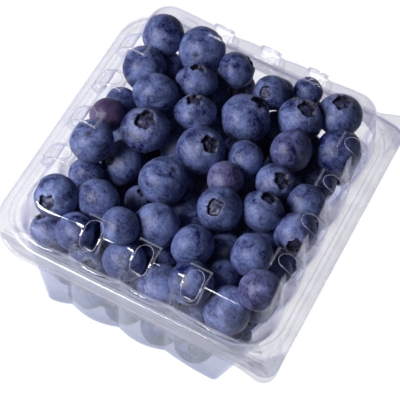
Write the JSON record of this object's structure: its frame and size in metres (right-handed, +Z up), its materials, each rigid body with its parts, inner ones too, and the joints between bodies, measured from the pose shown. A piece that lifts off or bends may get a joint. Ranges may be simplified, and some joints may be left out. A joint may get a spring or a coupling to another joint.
{
  "type": "punnet of blueberries",
  "caption": "Clear plastic clamshell punnet with vented hinged lid, shut, heaped full of fresh blueberries.",
  "frame": {"origin": "middle of the footprint, on the table", "axes": "+Z up; +Y along the punnet's long side; -X is the hinged side, +X the side with the two corner tabs"},
  "size_m": [0.121, 0.133, 0.0712],
  "materials": {
    "clear_plastic": "clear glossy thermoformed PET",
    "berry_skin": "dark blue skin with a pale waxy bloom"
  },
  "bodies": {
    "base": {"punnet_base": "clear_plastic", "blueberries": "berry_skin"},
    "lid": {"punnet_lid": "clear_plastic"}
  },
  "joints": [
    {"name": "lid_hinge", "type": "hinge", "parent": "base", "child": "lid", "pos_m": [-0.0608, 0, 0.05], "axis": [0, -1, 0], "range_deg": [0, 180]}
  ]
}
